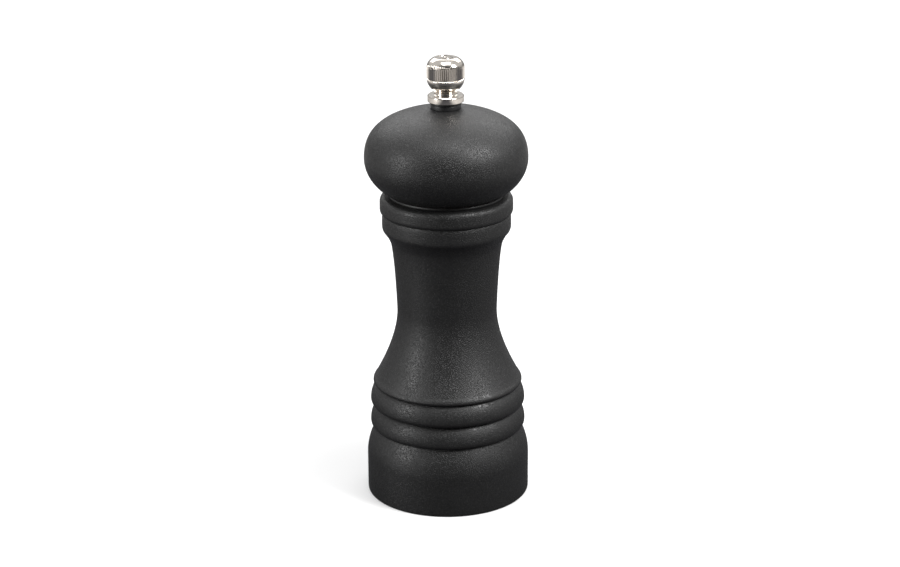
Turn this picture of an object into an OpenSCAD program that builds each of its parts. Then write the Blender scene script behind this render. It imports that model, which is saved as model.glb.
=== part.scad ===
// Turned wooden pepper mill with a burr grinder set by the knob on top.
// Frame: +Z up along the turning axis, origin at the middle of the base.

/* [Body] */
// Radius of the plain band at the base
base_r = 30.04; // [27.5:0.01:36]
// Height of the wooden body, base to rim
body_h = 114.2; // [104:0.1:140]
// Height of the plain band below the lower bead
base_band_h = 25.5; // [23:0.01:34]
// Height of the lower bead
lower_bead_h = 8.35; // [6:0.01:11]
// Height of the upper bead
upper_bead_h = 8.4; // [6:0.01:11]
// How far the lower bead stands inside the base radius
bead_inset = 1.37; // [0.8:0.01:2.5]
// Depth of the grooves between the beads
groove_depth = 2.6; // [1.2:0.01:3.2]
// How much shallower the lowest groove is
groove_step = 0.87; // [0:0.01:1.2]
// Radius of the shoulder above the beads
shoulder_r = 27.59; // [26:0.01:34]
// Height of the hollow sweep from the shoulder to the waist
sweep_h = 27.1; // [22:0.1:34]
// Radius of the waist
waist_r = 18.29; // [16.5:0.01:22]
// Radius at the top of the neck, where the flare begins
neck_r = 20.56; // [18:0.01:23]
// Radius of the lower collar band
collar_r = 23.45; // [22.5:0.01:28]
// How far the upper collar band stands out past the lower one
collar_step = 0.75; // [0.3:0.05:1.5]
// Height of the whole collar with its flare
collar_h = 17.1; // [15:0.05:22]
// Height of the flare at the foot of the collar
flare_h = 6.1; // [4:0.05:8]
// Height of the upper collar band
rim_band_h = 6.5; // [4:0.1:9]
// Radius of the peppercorn chamber
chamber_r = 13.5; // [12.5:0.05:15]

/* [Head] */
// Greatest radius of the head
head_r = 29.6; // [26:0.05:36]
// Height of the head from its foot to its top
head_h = 31.15; // [27:0.05:40]
// Height of the widest point above the foot of the head
head_waist_h = 13.12; // [11:0.05:16]
// Radius of the foot of the head
head_foot_r = 20.6; // [18:0.05:24]
// Radius of the flat on top of the head
head_flat_r = 6; // [5.7:0.05:8]
// Length of the tenon that centres the head in the body
tenon_h = 11.75; // [9:0.05:16]
// Radius of the hole for the shaft through the head
head_bore_r = 5; // [4.6:0.05:6.5]

/* [Knob] */
// Greatest radius of the knob
knob_r = 6.8; // [6.3:0.05:10]
// Height of the knob
knob_h = 15.95; // [14.5:0.05:22]
// Radius of the flange at the foot of the knob
knob_flange_r = 6.57; // [5.8:0.01:9]
// Thickness of the flange
knob_flange_h = 2.5; // [2:0.05:3.5]
// Radius of the neck between flange and grip
knob_neck_r = 3.95; // [3.6:0.05:5]
// Radius of the flat on top of the knob
knob_flat_r = 3.95; // [3.2:0.05:5.5]
// Radius of the shallow dish turned into the flat
knob_dish_r = 2.65; // [1.5:0.05:3]
// Depth of the dish
knob_dish_h = 0.2; // [0.1:0.05:0.5]
// Solid height above the knob's thread
knob_cap_h = 3.4; // [3:0.05:5]
// Number of flutes round the grip
flute_count = 54; // [24:2:72]
// Depth of each flute
flute_depth = 0.4; // [0.2:0.01:0.5]
// Height of the plain bowl and neck below the flutes, flange included
flute_low_h = 8.2; // [7.6:0.05:10]
// Radius of the washer under the knob
knob_washer_r = 5.65; // [4.5:0.05:6.3]
// Thickness of the washer under the knob
knob_washer_h = 0.85; // [0.5:0.05:1.5]
// Radius of the bush flange on top of the head
bush_flange_r = 5.5; // [5.3:0.05:5.9]
// Height of the bush flange on top of the head
bush_flange_h = 1.65; // [1:0.05:3]
// Length of the bush inside the head
bush_sleeve_h = 2.9; // [2:0.05:5]

/* [Shaft] */
// Width of the square shaft across its flats
shaft_w = 6; // [5.5:0.05:6.4]
// Outer radius of the screw thread
thread_r = 2.5; // [2:0.05:2.7]
// Pitch of the screw thread
thread_pitch = 0.8; // [0.5:0.05:1]
// Turns of the knob between coarse and fine
adjust_turns = 2; // [1:0.5:3]
// Spare room at the end of the knob's thread and above the square
thread_spare = 0.4; // [0.2:0.05:1]
// How far the shaft reaches below the crossbar
shaft_tail = 1.6; // [1:0.05:2.5]

/* [Grinder] */
// Radius of the outlet recess in the base
outlet_r = 23; // [21.5:0.05:25]
// Depth of the outlet recess
outlet_h = 7; // [6.2:0.05:9]
// Outer radius of the stator
stator_r = 15.5; // [14.8:0.05:16]
// Height of the stator
stator_h = 13; // [11.5:0.05:15]
// Inner radius of the stator at its lower edge
mouth_r = 13; // [12.4:0.05:13.4]
// Inner radius of the stator's straight throat
throat_r = 11.2; // [10.8:0.05:11.8]
// Height of the stator's lower cone
cone_h = 5.5; // [4.5:0.05:6.5]
// Gap between rotor and stator at the coarse setting
coarse_gap = 0.62; // [0.55:0.01:1.2]
// Height of the rotor
rotor_h = 16.5; // [14.5:0.05:18]
// Height of the rotor's underside above the stator's
rotor_lift = 1.5; // [1.4:0.05:2.5]
// Radius of the rotor's top
rotor_top_r = 6.6; // [6.5:0.05:7.5]
// Number of fine grooves in the rotor and in the stator
fine_grooves = 24; // [12:2:36]
// Number of coarse grooves in the rotor
coarse_grooves = 6; // [4:1:9]
// Width of the fine grooves
fine_size = 0.85; // [0.5:0.05:1]
// Width of the coarse grooves
coarse_size = 2.2; // [1.2:0.05:2.6]

/* [Bearings and springs] */
// Thickness of the crossbar
bar_t = 1.8; // [1.2:0.05:2.2]
// Width of the crossbar
bar_w = 9; // [7.5:0.1:11]
// Radius of the boss in the middle of the crossbar
bar_boss_r = 6.6; // [6.2:0.05:7.5]
// Thickness of the three-armed bridge
bridge_t = 1.2; // [0.8:0.05:1.6]
// Height from the bridge rim to its hub
bridge_rise = 17.8; // [16.5:0.05:22]
// Radius of the bridge hub
hub_r = 8; // [7.2:0.05:9]
// Width of a bridge arm
arm_w = 4.5; // [3:0.1:6]
// Wall of the bushes
bush_wall = 0.95; // [0.8:0.05:1.1]
// Thickness of the bush flanges and plain washers
washer_t = 0.75; // [0.5:0.05:1]
// How far a bush flange stands out past its sleeve
bush_lip = 1.2; // [0.8:0.05:1.4]
// Gap between the shaft's corners and the spring
spring_gap = 0.6; // [0.4:0.05:1]
// Wire diameter of the spring
spring_wire = 1; // [0.6:0.05:1.1]
// Working turns of the spring
spring_turns = 4; // [3:1:6]
// Thickness of the spring clip
clip_t = 0.8; // [0.5:0.05:1]
// Depth of the clip's groove in the shaft
clip_groove = 0.5; // [0.3:0.05:0.8]

/* [Head fittings] */
// Thickness of the drive plate
plate_t = 1.5; // [1:0.05:2]
// How far the drive plate stands inside the tenon
plate_inset = 1.1; // [0.5:0.05:2]
// Distance of the drive plate screws from the plate's edge
plate_screw_inset = 3.7; // [3:0.05:4]
// Wall of the neck ring's sleeve
neck_ring_wall = 2; // [1.2:0.05:3]
// Length of the neck ring's sleeve
neck_ring_h = 8; // [5:0.05:10]
// Radius of the neck ring's flange
neck_flange_r = 21; // [18.5:0.05:22]
// Thickness of the neck ring's flange
neck_flange_t = 1; // [0.6:0.05:1.5]

/* [Screws] */
// Shank radius of the crossbar screws
bar_screw_r = 1.7; // [1.3:0.05:2]
// Head radius of the crossbar screws
bar_screw_head_r = 3.1; // [2.6:0.05:3.4]
// Length of the crossbar screws in the wood
bar_screw_l = 10; // [7:0.1:12]
// Shank radius of the drive plate screws
plate_screw_r = 1.3; // [1:0.05:1.6]
// Head radius of the drive plate screws
plate_screw_head_r = 2.4; // [2:0.05:2.8]
// Length of the drive plate screws in the wood
plate_screw_l = 8; // [6:0.1:9]
// Height of a screw head
screw_head_h = 1.9; // [1.4:0.05:2.2]

/* [Fits] */
// Radial clearance of a piece that turns or slides in a bore
run_gap = 0.06; // [0.03:0.01:0.1]
// Radial clearance of a piece that is pressed or screwed in
fit_gap = 0.02; // [0.01:0.01:0.05]
// Clearance between faces that turn on each other
face_gap = 0.05; // [0.02:0.01:0.1]
// Clearance on each side of the square shaft in a square hole
square_gap = 0.12; // [0.05:0.01:0.2]
// Clearance round a screw in its plate
screw_gap = 0.15; // [0.1:0.01:0.3]
// Gap between the ends of the crossbar and the wall of the outlet
bar_end_gap = 0.8; // [0.4:0.05:1.5]
// Plate left between a screw head and the end of the crossbar
bar_edge = 0.3; // [0.2:0.05:1]

/* [Hidden] */
$fn = 96;

// Small allowances that no piece is sized by
over = 0.5;
edge = 0.6;
fine_lean = 18;
coarse_lean = 32;

// Heights up the outside of the body
lower_groove_z = base_band_h;
middle_groove_z = lower_groove_z + lower_bead_h;
upper_groove_z = middle_groove_z + upper_bead_h;
shoulder_z = upper_groove_z + 1;
waist_z = shoulder_z + sweep_h;
flare_z = body_h - collar_h;
collar_z = flare_z + flare_h;
rim_band_z = body_h - rim_band_h;
lower_bead_r = base_r - bead_inset;
upper_bead_r = lower_bead_r - 0.12;
groove_r = lower_bead_r - groove_depth;

// Heights of the head and knob
foot_z = body_h + neck_flange_t + face_gap;
head_top_z = foot_z + head_h;
bush_top_z = head_top_z + bush_flange_h;
washer_top_z = bush_top_z + face_gap + knob_washer_h;
knob_z = washer_top_z + face_gap;
knob_top_z = knob_z + knob_h;
tenon_r = chamber_r - 0.1;
tenon_z = foot_z - tenon_h;
plate_r = tenon_r - plate_inset;
plate_screw_at = plate_r - plate_screw_inset;
plate_z = tenon_z - plate_t;

// Shaft
corner_r = shaft_w * 2 / 3;
journal_r = shaft_w / 2 - 0.05;
clip_root_r = journal_r - clip_groove;
square_hole = shaft_w + 2 * square_gap;
square_bush_r = corner_r + run_gap + bush_wall;
journal_bush_r = journal_r + run_gap + bush_wall;
adjust_travel = adjust_turns * thread_pitch;

// Grinder, from the outlet upwards
bar_z = outlet_h - bar_t;
stator_top_z = outlet_h + stator_h;
bridge_top_z = stator_top_z + bridge_t;
rotor_z = outlet_h + rotor_lift;
rotor_top_z = rotor_z + rotor_h;
cone_slope = (mouth_r - throat_r) / cone_h;
rotor_base_r = mouth_r - coarse_gap - cone_slope * rotor_lift;
rotor_waist_r = rotor_base_r - cone_slope * cone_h;
clip_z = rotor_z - clip_t - face_gap;
hub_z = stator_top_z + bridge_rise;
spring_top_z = hub_z - washer_t - face_gap - washer_t;
spring_z = rotor_top_z + washer_t;
spring_r = corner_r + spring_gap + spring_wire / 2;
shaft_low_z = bar_z - shaft_tail;
square_top_z = head_top_z - bush_sleeve_h - adjust_travel - thread_spare;
thread_top_z = knob_top_z - knob_cap_h - thread_spare - adjust_travel;
bar_r = outlet_r - bar_end_gap;
bar_screw_at = bar_r - bar_screw_head_r - bar_edge;

// Points on a cubic curve from a to d, without its first point
function curve(a, b, c, d, steps) = [for (i = [1:steps]) let (t = i / steps, u = 1 - t)
    u * u * u * a + 3 * u * u * t * b + 3 * u * t * t * c + t * t * t * d];

// One bead, from its lower groove to its upper groove, fullest a quarter of the way up
function bead_outline(z, h, r, low_r) = let (full_z = z + h / 4) concat(
    curve([low_r, z], [low_r + 0.6 * (r - low_r), z], [r, full_z - 0.15 * h], [r, full_z], 5),
    curve([r, full_z], [r, full_z + 0.34 * h], [groove_r + 0.45 * (r - groove_r), z + 0.91 * h],
          [groove_r, z + h], 7));

function body_outline() = let (low_r = groove_r + groove_step, straight_z = base_band_h * 0.554) concat(
    [[0, 0], [base_r - edge, 0]],
    curve([base_r - edge, 0], [base_r - edge / 3, 0], [base_r, edge / 2], [base_r, edge * 1.6], 4),
    [[base_r, straight_z]],
    curve([base_r, straight_z], [base_r, (straight_z + lower_groove_z) / 2],
          [groove_r + 1.5, lower_groove_z - 1.4], [low_r, lower_groove_z], 10),
    bead_outline(lower_groove_z, lower_bead_h, lower_bead_r, low_r),
    bead_outline(middle_groove_z, upper_bead_h, upper_bead_r, groove_r),
    curve([groove_r, upper_groove_z], [(groove_r + shoulder_r) / 2, upper_groove_z],
          [shoulder_r, upper_groove_z + 0.4], [shoulder_r, shoulder_z], 4),
    curve([shoulder_r, shoulder_z], [shoulder_r, shoulder_z + 0.1],
          [waist_r, waist_z - sweep_h * 0.454], [waist_r, waist_z], 18),
    curve([waist_r, waist_z], [waist_r, waist_z + 2.6],
          [neck_r - 1.36, flare_z - 3.2], [neck_r, flare_z], 8),
    curve([neck_r, flare_z], [neck_r + 1.9, flare_z + 4.5],
          [collar_r, collar_z - 2.7], [collar_r, collar_z], 8),
    rim_outline());

// Collar above its flare: a fine groove, the standing band and its rounded rim
function rim_outline() = let (r = collar_r + collar_step, root_r = collar_r - 0.35, root_z = rim_band_z - 0.1)
    concat(
        curve([collar_r, collar_z], [collar_r, root_z - 1.5], [collar_r, root_z - edge], [root_r, root_z], 5),
        curve([root_r, root_z], [root_r + 0.55, root_z + 0.2], [r, root_z + 0.8], [r, root_z + 1.7], 5),
        curve([r, body_h - 2.3], [r, body_h - 1], [r - 0.7, body_h - 0.1], [r - 1.9, body_h], 6),
        [[0, body_h]]);

// Head: a rounded foot, the full belly and a crown that keeps rising to the bush
function head_outline() = let (lip_r = head_foot_r + 2, lip_z = foot_z + 1.11, full_z = foot_z + head_waist_h,
                               crown_h = head_top_z - full_z) concat(
    [[0, foot_z], [head_foot_r, foot_z]],
    curve([head_foot_r, foot_z], [head_foot_r + 0.9, foot_z], [lip_r - 0.7, lip_z - 0.3], [lip_r, lip_z], 4),
    curve([lip_r, lip_z], [lip_r + 1.1, lip_z + edge], [head_r, full_z - 7.2], [head_r, full_z], 14),
    curve([head_r, full_z], [head_r, full_z + crown_h * 0.583],
          [head_r * 0.755, head_top_z - crown_h * 0.143], [head_flat_r, head_top_z], 18),
    [[0, head_top_z]]);

// Knob: flange, neck, bowl, grip and dome, with a shallow dish in its flat top
function knob_outline() = let (
    flange_z = knob_z + knob_flange_h,
    flange_edge = 0.45,
    bowl_r = knob_neck_r + 0.35,
    bowl_z = flange_z + 1.35,
    grip_z = knob_z + flute_low_h - 0.1,
    dome_z = knob_top_z - 3.75) concat(
    [[0, knob_z], [knob_flange_r - 0.25, knob_z], [knob_flange_r, knob_z + 0.25],
     [knob_flange_r, flange_z - flange_edge]],
    curve([knob_flange_r, flange_z - flange_edge], [knob_flange_r, flange_z - 0.2],
          [knob_flange_r - 0.2, flange_z], [knob_flange_r - flange_edge, flange_z], 3),
    curve([knob_neck_r + edge, flange_z], [knob_neck_r + 0.2, flange_z],
          [knob_neck_r, flange_z + 0.2], [knob_neck_r, flange_z + edge], 4),
    [[knob_neck_r, bowl_z - 0.35], [bowl_r, bowl_z]],
    curve([bowl_r, bowl_z], [bowl_r, bowl_z], [knob_r, grip_z - 2.2], [knob_r, grip_z], 9),
    curve([knob_r, dome_z], [knob_r, dome_z + 2.55], [knob_flat_r + 0.45, knob_top_z],
          [knob_flat_r, knob_top_z], 9),
    [[knob_dish_r, knob_top_z], [knob_dish_r - 0.35, knob_top_z - knob_dish_h], [0, knob_top_z - knob_dish_h]]);

// Round end of the shaft with one ring for each turn of its thread
function thread_outline(z, top) = let (turns = floor((top - z) / thread_pitch), root = thread_r - 0.4)
    concat([[0, z], [root, z]],
           [for (i = [0:turns - 1], p = [[0, 0.2], [1, 0.45], [1, 0.55], [0, 0.8]])
               [root + p[0] * 0.4, z + (i + p[1]) * thread_pitch]],
           [[root, z + turns * thread_pitch], [root - 0.6, top], [0, top]]);

module ring(outer, inner, z, h) {
    translate([0, 0, z])
    difference() {
        cylinder(r = outer, h = h);
        translate([0, 0, -over]) cylinder(r = inner, h = h + 2 * over);
    }
}

// Sleeve with a flange at its upper or lower end
module flanged_bush(outer, inner, z, h, flange_r, flange_z, flange_h) {
    difference() {
        union() {
            translate([0, 0, z]) cylinder(r = outer, h = h);
            translate([0, 0, flange_z]) cylinder(r = flange_r, h = flange_h);
        }
        translate([0, 0, z - h]) cylinder(r = inner, h = 3 * h);
    }
}

module square_bar(w, z, h) {
    translate([-w / 2, -w / 2, z]) cube([w, w, h]);
}

// Screw that points up, its cross-slotted head below z
module wood_screw(r, head_r, l, z) {
    low_z = z - screw_head_h;
    rim_h = screw_head_h * 0.4;
    slot_w = head_r * 0.3;
    slot_l = head_r * 1.2;
    difference() {
        union() {
            translate([0, 0, z - rim_h]) cylinder(r = head_r, h = rim_h);
            translate([0, 0, low_z]) cylinder(r1 = slot_l / 2, r2 = head_r, h = screw_head_h - rim_h);
            translate([0, 0, z - rim_h]) cylinder(r = r, h = l - r + rim_h);
            translate([0, 0, z + l - r]) cylinder(r1 = r, r2 = r / 4, h = r);
        }
        for (turn = [0, 90])
            rotate([0, 0, turn])
            translate([-slot_l / 2, -slot_w / 2, low_z - over])
            cube([slot_l, slot_w, screw_head_h / 2 + over]);
    }
}

module mirrored_pair(at) {
    for (side = [-1, 1])
        translate([side * at, 0, 0]) children();
}

// Hole through a plate that lies between z and z + h
module through_hole(r, z, h) {
    translate([0, 0, z - over]) cylinder(r = r, h = h + 2 * over);
}

// Straight V groove that leans across a conical wall, centred at radius r and height z
module cone_groove(r, z, l, size, tilt, lean) {
    translate([r, 0, z])
    rotate([lean, tilt, 0])
    rotate([0, 0, 45])
    cube([size, size, l], center = true);
}

module mill_body() {
    color([0.11, 0.11, 0.11])
    difference() {
        rotate_extrude() polygon(body_outline());
        translate([0, 0, -over]) cylinder(r = outlet_r, h = outlet_h + over);
        translate([0, 0, outlet_h - over])
            cylinder(r = stator_r + fit_gap, h = stator_h + bridge_t + face_gap + over);
        translate([0, 0, bridge_top_z]) cylinder(r = chamber_r, h = body_h);
        translate([0, 0, body_h - neck_ring_h])
            cylinder(r = chamber_r + neck_ring_wall + fit_gap, h = neck_ring_h + over);
        mirrored_pair(bar_screw_at) through_hole(bar_screw_r + fit_gap, outlet_h, bar_screw_l - bar_t + over);
    }
}

module neck_ring() {
    inner = tenon_r + run_gap;
    color([0.07, 0.07, 0.07])
    union() {
        ring(chamber_r + neck_ring_wall, inner, body_h - neck_ring_h, neck_ring_h + neck_flange_t);
        ring(neck_flange_r, inner, body_h, neck_flange_t);
    }
}

// Rim that lies on the stator, with three arms that rise to a hub round the shaft
module guide_bridge() {
    foot_r = chamber_r - 0.25;
    foot_w = 1.4;
    low_z = stator_top_z + 0.1;
    hub_top = hub_z + bridge_t;
    arm = [[foot_r - foot_w, low_z], [foot_r, low_z], [foot_r, bridge_top_z + over],
           [hub_r, hub_top], [hub_r - 1.6, hub_top], [hub_r - 1.6, hub_z], [hub_r - 0.9, hub_z]];
    color([0.62, 0.63, 0.64])
    difference() {
        union() {
            ring(stator_r, chamber_r - 0.9, stator_top_z, bridge_t);
            translate([0, 0, hub_z]) cylinder(r = hub_r, h = bridge_t);
            for (turn = [30, 150, 270])
                rotate([90, 0, turn])
                translate([0, 0, -arm_w / 2])
                linear_extrude(arm_w) polygon(arm);
        }
        through_hole(square_bush_r + fit_gap, hub_z, bridge_t);
    }
}

module bridge_bush() {
    color([0.85, 0.83, 0.76])
    flanged_bush(square_bush_r, square_bush_r - bush_wall, hub_z - washer_t, washer_t + bridge_t + 0.4,
                 square_bush_r + bush_lip, hub_z - washer_t, washer_t);
}

module stator() {
    mouth_h = 3;
    wall = [[mouth_r, outlet_h], [stator_r, outlet_h], [stator_r, stator_top_z],
            [throat_r + 1.4, stator_top_z], [throat_r, stator_top_z - mouth_h], [throat_r, outlet_h + cone_h]];
    color([0.50, 0.50, 0.51])
    difference() {
        rotate_extrude() polygon(wall);
        for (i = [0:fine_grooves - 1])
            rotate([0, 0, i * 360 / fine_grooves])
            cone_groove((mouth_r + throat_r) / 2, outlet_h + cone_h / 2, cone_h * 2, fine_size,
                        -atan(cone_slope), fine_lean);
    }
}

module crossbar() {
    color([0.66, 0.67, 0.68])
    difference() {
        intersection() {
            union() {
                translate([-outlet_r, -bar_w / 2, bar_z]) cube([2 * outlet_r, bar_w, bar_t]);
                translate([0, 0, bar_z]) cylinder(r = bar_boss_r, h = bar_t);
            }
            translate([0, 0, bar_z - over]) cylinder(r = bar_r, h = bar_t + 2 * over);
        }
        through_hole(journal_bush_r + fit_gap, bar_z, bar_t);
        mirrored_pair(bar_screw_at) through_hole(bar_screw_r + screw_gap, bar_z, bar_t);
    }
}

module crossbar_bush() {
    lip_h = 0.4;
    color([0.85, 0.83, 0.76])
    flanged_bush(journal_bush_r, journal_bush_r - bush_wall, bar_z - over, bar_t + over + lip_h,
                 journal_bush_r + bush_lip, outlet_h, lip_h);
}

module crossbar_screws() {
    color([0.72, 0.72, 0.70])
    mirrored_pair(bar_screw_at) wood_screw(bar_screw_r, bar_screw_head_r, bar_screw_l, bar_z);
}

module spring_washer() {
    color([0.66, 0.67, 0.68])
    difference() {
        translate([0, 0, spring_top_z]) cylinder(r = spring_r + spring_wire, h = washer_t);
        square_bar(square_hole, spring_top_z - over, washer_t + 2 * over);
    }
}

// Round wire swept along a helix that flattens at both ends
module spring() {
    sides = 8;
    rings_per_turn = 20;
    seat = 0.02;
    coil_z = spring_z + spring_wire / 2 + seat;
    rise = spring_top_z - spring_wire / 2 - seat - coil_z;
    turns = spring_turns + 2;
    rings = turns * rings_per_turn;
    closed = 0.8;
    closed_pitch = spring_wire * 1.04;
    function along(t) = t < closed ? closed_pitch * t
        : t > turns - closed ? rise - closed_pitch * (turns - t)
        : closed_pitch * closed + (rise - 2 * closed_pitch * closed) * (t - closed) / (turns - 2 * closed);
    points = [for (i = [0:rings], k = [0:sides - 1])
        let (turn = 360 * i / rings_per_turn, a = 360 * k / sides,
             r = spring_r + spring_wire / 2 * cos(a))
        [r * cos(turn), r * sin(turn), coil_z + along(i / rings_per_turn) + spring_wire / 2 * sin(a)]];
    sleeve = [for (i = [0:rings - 1], k = [0:sides - 1]) let (n = (k + 1) % sides)
        [i * sides + k, i * sides + n, (i + 1) * sides + n, (i + 1) * sides + k]];
    ends = [[for (k = [sides - 1:-1:0]) k], [for (k = [0:sides - 1]) rings * sides + k]];
    color([0.70, 0.71, 0.72])
    polyhedron(points = points, faces = concat(sleeve, ends));
}

module shaft() {
    color([0.70, 0.70, 0.70])
    union() {
        difference() {
            translate([0, 0, shaft_low_z]) cylinder(r = journal_r, h = rotor_z - shaft_low_z + over);
            ring(journal_r + over, clip_root_r, clip_z - face_gap, clip_t + 2 * face_gap);
        }
        intersection() {
            square_bar(shaft_w, rotor_z, square_top_z - rotor_z);
            translate([0, 0, rotor_z]) cylinder(r = corner_r, h = square_top_z - rotor_z);
        }
        rotate_extrude() polygon(thread_outline(square_top_z, thread_top_z));
    }
}

module rotor() {
    bevel = 0.3;
    cone_top_z = rotor_z + cone_h;
    solid = [[0, rotor_z], [rotor_base_r - bevel, rotor_z],
             [rotor_base_r - cone_slope * bevel, rotor_z + bevel],
             [rotor_waist_r, cone_top_z], [rotor_top_r + 0.4, rotor_top_z - 2.5],
             [rotor_top_r, rotor_top_z], [0, rotor_top_z]];
    color([0.45, 0.45, 0.46])
    difference() {
        rotate_extrude() polygon(solid);
        square_bar(square_hole, rotor_z - over, rotor_h + 2 * over);
        for (i = [0:fine_grooves - 1])
            rotate([0, 0, (i + 0.5) * 360 / fine_grooves])
            cone_groove((rotor_base_r + rotor_waist_r) / 2, rotor_z + cone_h / 2 - 0.6,
                        cone_h * 1.5, fine_size, -atan(cone_slope), -fine_lean);
        for (i = [0:coarse_grooves - 1])
            rotate([0, 0, i * 360 / coarse_grooves])
            cone_groove((rotor_waist_r + rotor_top_r) / 2 + 1, rotor_top_z - cone_h, 12, coarse_size,
                        -14, -coarse_lean);
    }
}

module rotor_washer() {
    color([0.66, 0.67, 0.68])
    difference() {
        translate([0, 0, rotor_top_z])
            cylinder(r = min(rotor_top_r - 0.1, spring_r + spring_wire), h = washer_t);
        square_bar(square_hole, rotor_top_z - over, washer_t + 2 * over);
    }
}

// Spring clip with a gap on one side
module rotor_clip() {
    inner = clip_root_r + fit_gap;
    outer = journal_r + 1.5;
    mouth = inner * 1.4;
    color([0.30, 0.30, 0.31])
    difference() {
        ring(outer, inner, clip_z, clip_t);
        translate([0, -mouth / 2, clip_z - over]) cube([2 * outer, mouth, clip_t + 2 * over]);
    }
}

module head() {
    color([0.11, 0.11, 0.11])
    difference() {
        union() {
            rotate_extrude() polygon(head_outline());
            translate([0, 0, tenon_z]) cylinder(r = tenon_r, h = tenon_h + over);
        }
        through_hole(head_bore_r, tenon_z, head_top_z - tenon_z);
        mirrored_pair(plate_screw_at) through_hole(plate_screw_r + fit_gap, tenon_z, plate_screw_l);
    }
}

module drive_plate() {
    color([0.66, 0.67, 0.68])
    difference() {
        translate([0, 0, plate_z]) cylinder(r = plate_r, h = plate_t);
        square_bar(square_hole, plate_z - over, plate_t + 2 * over);
        mirrored_pair(plate_screw_at) through_hole(plate_screw_r + screw_gap, plate_z, plate_t);
    }
}

module drive_plate_screws() {
    color([0.72, 0.72, 0.70])
    mirrored_pair(plate_screw_at)
        wood_screw(plate_screw_r, plate_screw_head_r, plate_screw_l + plate_t, plate_z);
}

module head_bush() {
    color([0.05, 0.05, 0.05])
    flanged_bush(head_bore_r - fit_gap, thread_r + run_gap, head_top_z - bush_sleeve_h,
                 bush_sleeve_h + bush_flange_h, bush_flange_r, head_top_z, bush_flange_h);
}

module knob_washer() {
    color([0.04, 0.04, 0.04])
    ring(knob_washer_r, thread_r + 0.2, bush_top_z + face_gap, knob_washer_h);
}

module knob() {
    bore_h = thread_top_z + adjust_travel + thread_spare - knob_z;
    flute_z = knob_z + flute_low_h;
    flute_pitch = 2 * PI * knob_r / flute_count;
    flute_r = flute_pitch * 0.42;
    color([0.80, 0.78, 0.74])
    difference() {
        rotate_extrude() polygon(knob_outline());
        translate([0, 0, knob_z - over]) cylinder(r = thread_r + run_gap, h = bore_h + over);
        translate([0, 0, knob_z + bore_h]) cylinder(r1 = thread_r + run_gap, r2 = over, h = knob_cap_h / 2);
        for (i = [0:flute_count - 1])
            rotate([0, 0, i * 360 / flute_count])
            translate([knob_r + flute_r - flute_depth, 0, flute_z])
            cylinder(r = flute_r, h = knob_top_z - flute_z, $fn = 16);
    }
}

mill_body();
neck_ring();
guide_bridge();
bridge_bush();
stator();
crossbar();
crossbar_bush();
crossbar_screws();
spring_washer();
spring();
shaft();
rotor();
rotor_washer();
rotor_clip();
head();
drive_plate();
drive_plate_screws();
head_bush();
knob_washer();
knob();
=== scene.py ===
"""Turned pepper mill: finished meshes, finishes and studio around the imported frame."""
import math
import bmesh
import bpy
from mathutils import Matrix, Vector


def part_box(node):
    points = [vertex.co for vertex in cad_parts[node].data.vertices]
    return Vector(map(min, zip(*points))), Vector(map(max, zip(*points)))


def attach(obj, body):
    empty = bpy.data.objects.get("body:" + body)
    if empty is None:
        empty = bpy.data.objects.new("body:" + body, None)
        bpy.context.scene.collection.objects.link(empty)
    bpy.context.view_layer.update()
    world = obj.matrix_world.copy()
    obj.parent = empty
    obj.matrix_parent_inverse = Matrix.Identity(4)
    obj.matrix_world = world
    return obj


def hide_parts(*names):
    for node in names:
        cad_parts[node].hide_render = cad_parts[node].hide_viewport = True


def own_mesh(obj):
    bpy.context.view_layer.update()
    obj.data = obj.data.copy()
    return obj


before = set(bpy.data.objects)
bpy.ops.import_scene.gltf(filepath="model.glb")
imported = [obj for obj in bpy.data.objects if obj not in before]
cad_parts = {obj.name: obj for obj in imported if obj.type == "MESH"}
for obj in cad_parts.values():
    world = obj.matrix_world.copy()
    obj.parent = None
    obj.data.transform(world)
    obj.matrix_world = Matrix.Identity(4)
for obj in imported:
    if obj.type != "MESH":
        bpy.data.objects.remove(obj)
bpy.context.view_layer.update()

MM = 0.001
TURN = 2 * math.pi
ROUND = 192          # steps round a turned piece
SMALL_ROUND = 96     # steps round a small fitting


# ---------------------------------------------------------------- places from the frame

def low_z(node):
    """Height of a node's underside, in millimetres."""
    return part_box(node)[0].z / MM


def high_z(node):
    """Height of a node's top, in millimetres."""
    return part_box(node)[1].z / MM


def radius(node):
    """How far a node reaches from the axis along X, in millimetres."""
    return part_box(node)[1].x / MM


# ---------------------------------------------------------------- outlines

def curve(a, b, c, d, steps):
    """Points on a cubic curve from a to d, without its first point."""
    points = []
    for i in range(1, steps + 1):
        t = i / steps
        u = 1 - t
        points.append(tuple(
            u ** 3 * a[k] + 3 * u * u * t * b[k] + 3 * u * t * t * c[k] + t ** 3 * d[k] for k in (0, 1)))
    return points


def eased(points, size, steps=4, closed=True):
    """An outline with each corner rounded by a small arc."""
    count = len(points)
    out = []
    for i, p in enumerate(points):
        if not closed and i in (0, count - 1):
            out.append(p)
            continue
        here = Vector(p)
        before = Vector(points[i - 1]) - here
        after = Vector(points[(i + 1) % count]) - here
        if before.length < 1e-9 or after.length < 1e-9:
            continue
        bend = math.pi - before.angle(after)
        reach = min(size, before.length * 0.45, after.length * 0.45)
        if bend < math.radians(20):
            out.append(p)
            continue
        start = here + before.normalized() * reach
        end = here + after.normalized() * reach
        out.append(tuple(start))
        for k in range(1, steps + 1):
            t = k / steps
            mid = start * (1 - t) ** 2 + here * 2 * t * (1 - t) + end * t * t
            out.append(tuple(mid))
    return out


def square(half, corner=99.0):
    """Radius of a square bar's side at an angle, its corners turned down to a radius."""
    return lambda angle: min(half / max(abs(math.cos(angle)), abs(math.sin(angle))), corner)


# ---------------------------------------------------------------- meshes

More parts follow.
